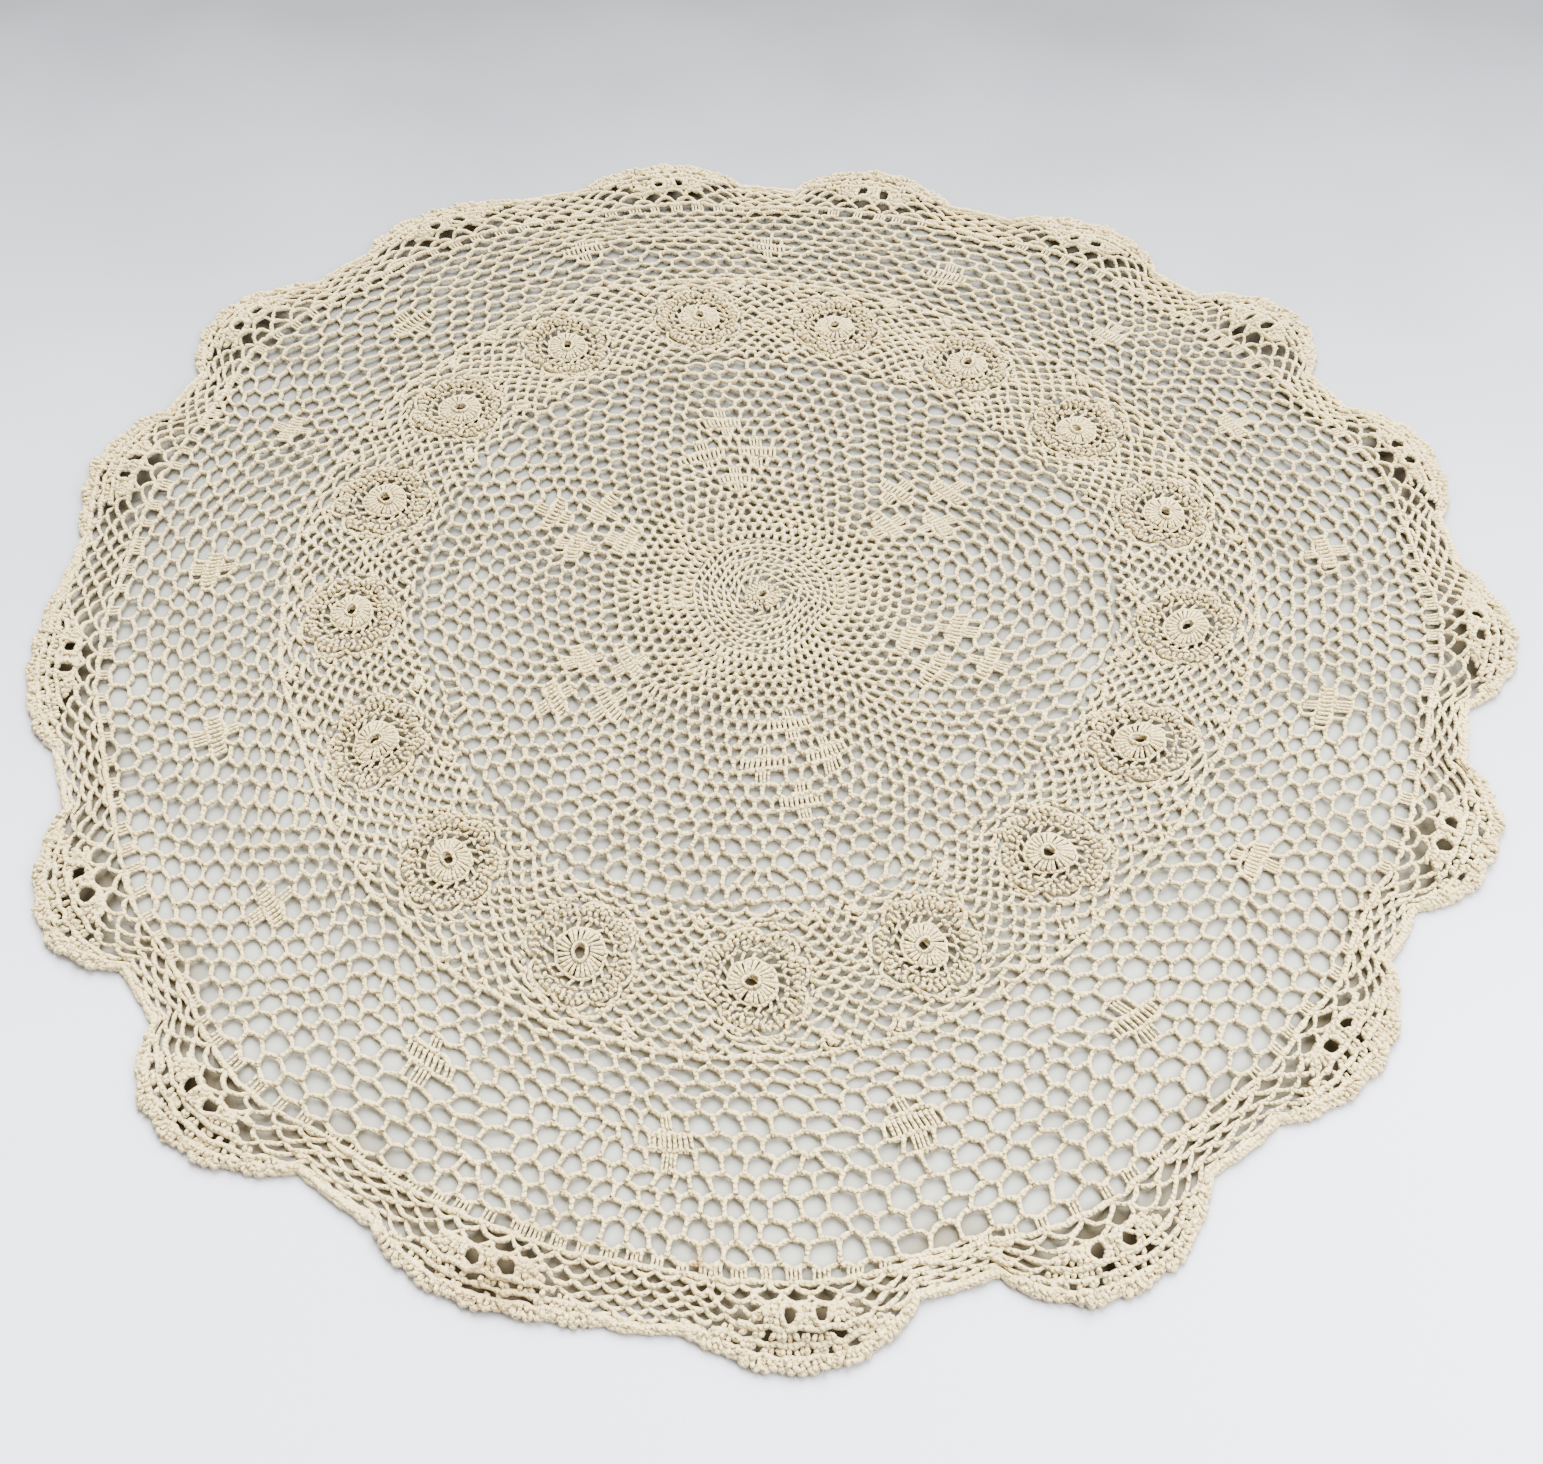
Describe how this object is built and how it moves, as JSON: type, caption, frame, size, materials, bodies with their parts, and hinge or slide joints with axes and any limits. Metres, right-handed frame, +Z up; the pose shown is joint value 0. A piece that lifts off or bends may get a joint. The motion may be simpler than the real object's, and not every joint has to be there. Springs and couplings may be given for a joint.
{
  "type": "round crocheted lace doily",
  "caption": "Round crocheted cotton doily lying flat: net medallion, ring of rosette motifs, open outer net with small diamonds and a scalloped shell edging.",
  "frame": {"origin": "under the middle of the outline, on the surface the doily lies on", "axes": "+Z up from the surface; +Y away from the viewer, towards the doily's back edge; +X to the viewer's right"},
  "size_m": [0.9226, 0.8957, 0.0111],
  "materials": {
    "cotton_yarn": "matte undyed crochet cotton"
  },
  "bodies": {
    "root": {"medallion": "cotton_yarn", "rosette_01": "cotton_yarn", "rosette_02": "cotton_yarn", "rosette_03": "cotton_yarn", "rosette_04": "cotton_yarn", "rosette_05": "cotton_yarn", "rosette_06": "cotton_yarn", "rosette_07": "cotton_yarn", "rosette_08": "cotton_yarn", "rosette_09": "cotton_yarn", "rosette_10": "cotton_yarn", "rosette_11": "cotton_yarn", "rosette_12": "cotton_yarn", "rosette_13": "cotton_yarn", "rosette_14": "cotton_yarn", "rosette_15": "cotton_yarn", "rosette_16": "cotton_yarn", "rosette_17": "cotton_yarn", "surround": "cotton_yarn"}
  },
  "joints": []
}
